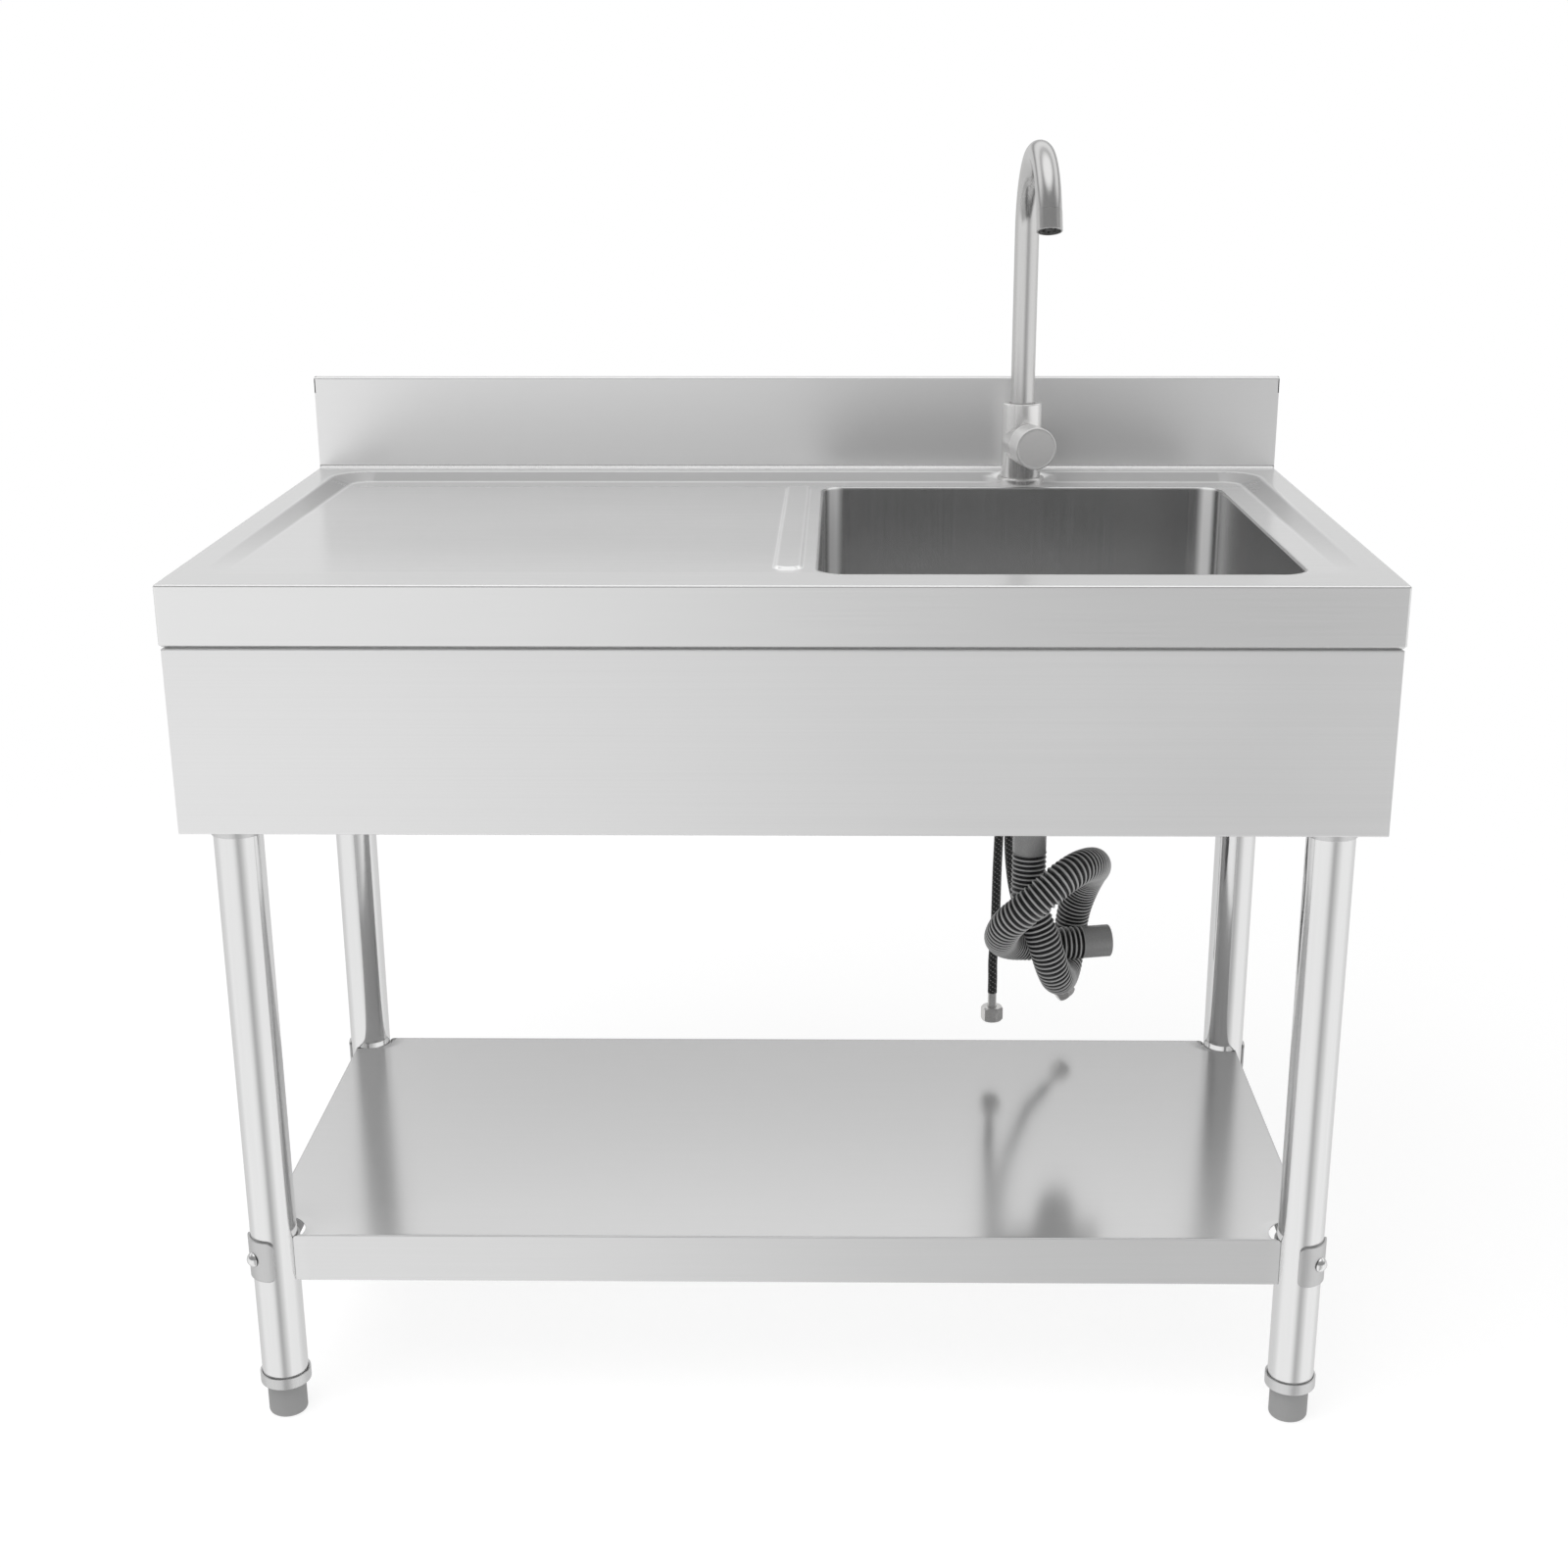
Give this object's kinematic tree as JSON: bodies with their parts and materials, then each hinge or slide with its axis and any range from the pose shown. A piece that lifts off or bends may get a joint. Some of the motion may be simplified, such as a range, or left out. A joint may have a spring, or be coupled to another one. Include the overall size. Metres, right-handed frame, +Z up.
{
  "type": "freestanding sink",
  "caption": "Freestanding stainless steel sink: pressed drainboard, bowl, backsplash and skirt on round legs with a clamped shelf, a swan-neck tap, supply hoses and a ribbed drain hose.",
  "frame": {"origin": "on the floor under the middle of the footprint", "axes": "+X to the right as seen from the front, +Y towards the wall, +Z up"},
  "size_m": [1, 0.612, 1.1089],
  "materials": {
    "sheet_steel": "fine brushed",
    "skirt_steel": "fine brushed along the length",
    "frame_steel": "mill finish",
    "socket_steel": "satin",
    "leg_tube": "polished along the tube",
    "clamp_steel": "satin",
    "fastener_steel": "bright",
    "tap_steel": "satin brushed round",
    "waste_steel": "polished",
    "fitting_steel": "bright",
    "brass": "turned",
    "foot_plastic": "moulded",
    "cuff_plastic": "moulded",
    "hose_plastic": "ribbed, semi-gloss",
    "dark_plastic": "moulded",
    "black_rubber": "matte",
    "braided_hose": "black braid with light flecks"
  },
  "bodies": {
    "frame": {"worktop": "sheet_steel", "bowl": "sheet_steel", "skirt_front": "skirt_steel", "skirt_rear": "skirt_steel", "skirt_left": "skirt_steel", "skirt_right": "skirt_steel", "rail_left": "frame_steel", "rail_right": "frame_steel", "drainboard_stiffener": "frame_steel", "socket_front_left": "socket_steel", "socket_front_right": "socket_steel", "socket_rear_left": "socket_steel", "socket_rear_right": "socket_steel", "socket_screws": "fastener_steel", "leg_front_left": "leg_tube", "leg_front_right": "leg_tube", "leg_rear_left": "leg_tube", "leg_rear_right": "leg_tube", "leg_plugs": "dark_plastic", "leg_cups": "socket_steel", "undershelf": "sheet_steel", "shelf_stiffener": "frame_steel", "shelf_brackets": "frame_steel", "clamp_front_left": "clamp_steel", "clamp_front_right": "clamp_steel", "clamp_rear_left": "clamp_steel", "clamp_rear_right": "clamp_steel", "clamp_bolts": "fastener_steel", "clamp_nuts": "fastener_steel", "tap_flange": "tap_steel", "tap_body": "tap_steel", "tap_shank": "brass", "tap_washer": "black_rubber", "tap_locknut": "brass", "tap_cartridge": "dark_plastic", "spout_bush": "dark_plastic", "strainer_body": "waste_steel", "strainer_gasket": "black_rubber", "strainer_nut": "cuff_plastic", "tail_nut": "dark_plastic", "drain_top_cuff": "cuff_plastic", "drain_hose": "hose_plastic", "drain_end_cuff": "cuff_plastic", "supply_hose_left": "braided_hose", "supply_hose_right": "braided_hose", "supply_ferrule_left": "fitting_steel", "supply_ferrule_right": "fitting_steel"},
    "spout": {"tap_spout": "tap_steel", "spout_sleeve": "tap_steel", "spout_aerator": "dark_plastic"},
    "control": {"tap_control": "tap_steel"},
    "basket": {"strainer_basket": "waste_steel"},
    "nut_left": {"supply_nut_left": "fitting_steel"},
    "nut_right": {"supply_nut_right": "fitting_steel"},
    "foot_front_left": {"foot_front_left": "foot_plastic"},
    "foot_front_right": {"foot_front_right": "foot_plastic"},
    "foot_rear_left": {"foot_rear_left": "foot_plastic"},
    "foot_rear_right": {"foot_rear_right": "foot_plastic"}
  },
  "joints": [
    {"name": "spout_swivel", "type": "hinge", "parent": "frame", "child": "spout", "pos_m": [0.2315, 0.246, 0.845], "axis": [0, 0, 1], "continuous": true},
    {"name": "control_turn", "type": "hinge", "parent": "frame", "child": "control", "pos_m": [0.2315, 0.246, 0.81335], "axis": [0.2334, -0.9724, 0], "range_deg": [0, 90]},
    {"name": "basket_lift", "type": "slide", "parent": "frame", "child": "basket", "axis": [0, 0, 1], "range_m": [0, 0.2]},
    {"name": "nut_left_turn", "type": "hinge", "parent": "frame", "child": "nut_left", "pos_m": [0.207, 0.117, 0.237], "axis": [0, 0, -1], "continuous": true},
    {"name": "nut_right_turn", "type": "hinge", "parent": "frame", "child": "nut_right", "pos_m": [0.2888, 0.192, 0.2326], "axis": [0.6, 0, -0.8], "continuous": true},
    {"name": "foot_front_left_level", "type": "slide", "parent": "frame", "child": "foot_front_left", "axis": [0, 0, -1], "range_m": [-0.018, 0.022]},
    {"name": "foot_front_right_level", "type": "slide", "parent": "frame", "child": "foot_front_right", "axis": [0, 0, -1], "range_m": [-0.018, 0.022]},
    {"name": "foot_rear_left_level", "type": "slide", "parent": "frame", "child": "foot_rear_left", "axis": [0, 0, -1], "range_m": [-0.018, 0.022]},
    {"name": "foot_rear_right_level", "type": "slide", "parent": "frame", "child": "foot_rear_right", "axis": [0, 0, -1], "range_m": [-0.018, 0.022]}
  ]
}
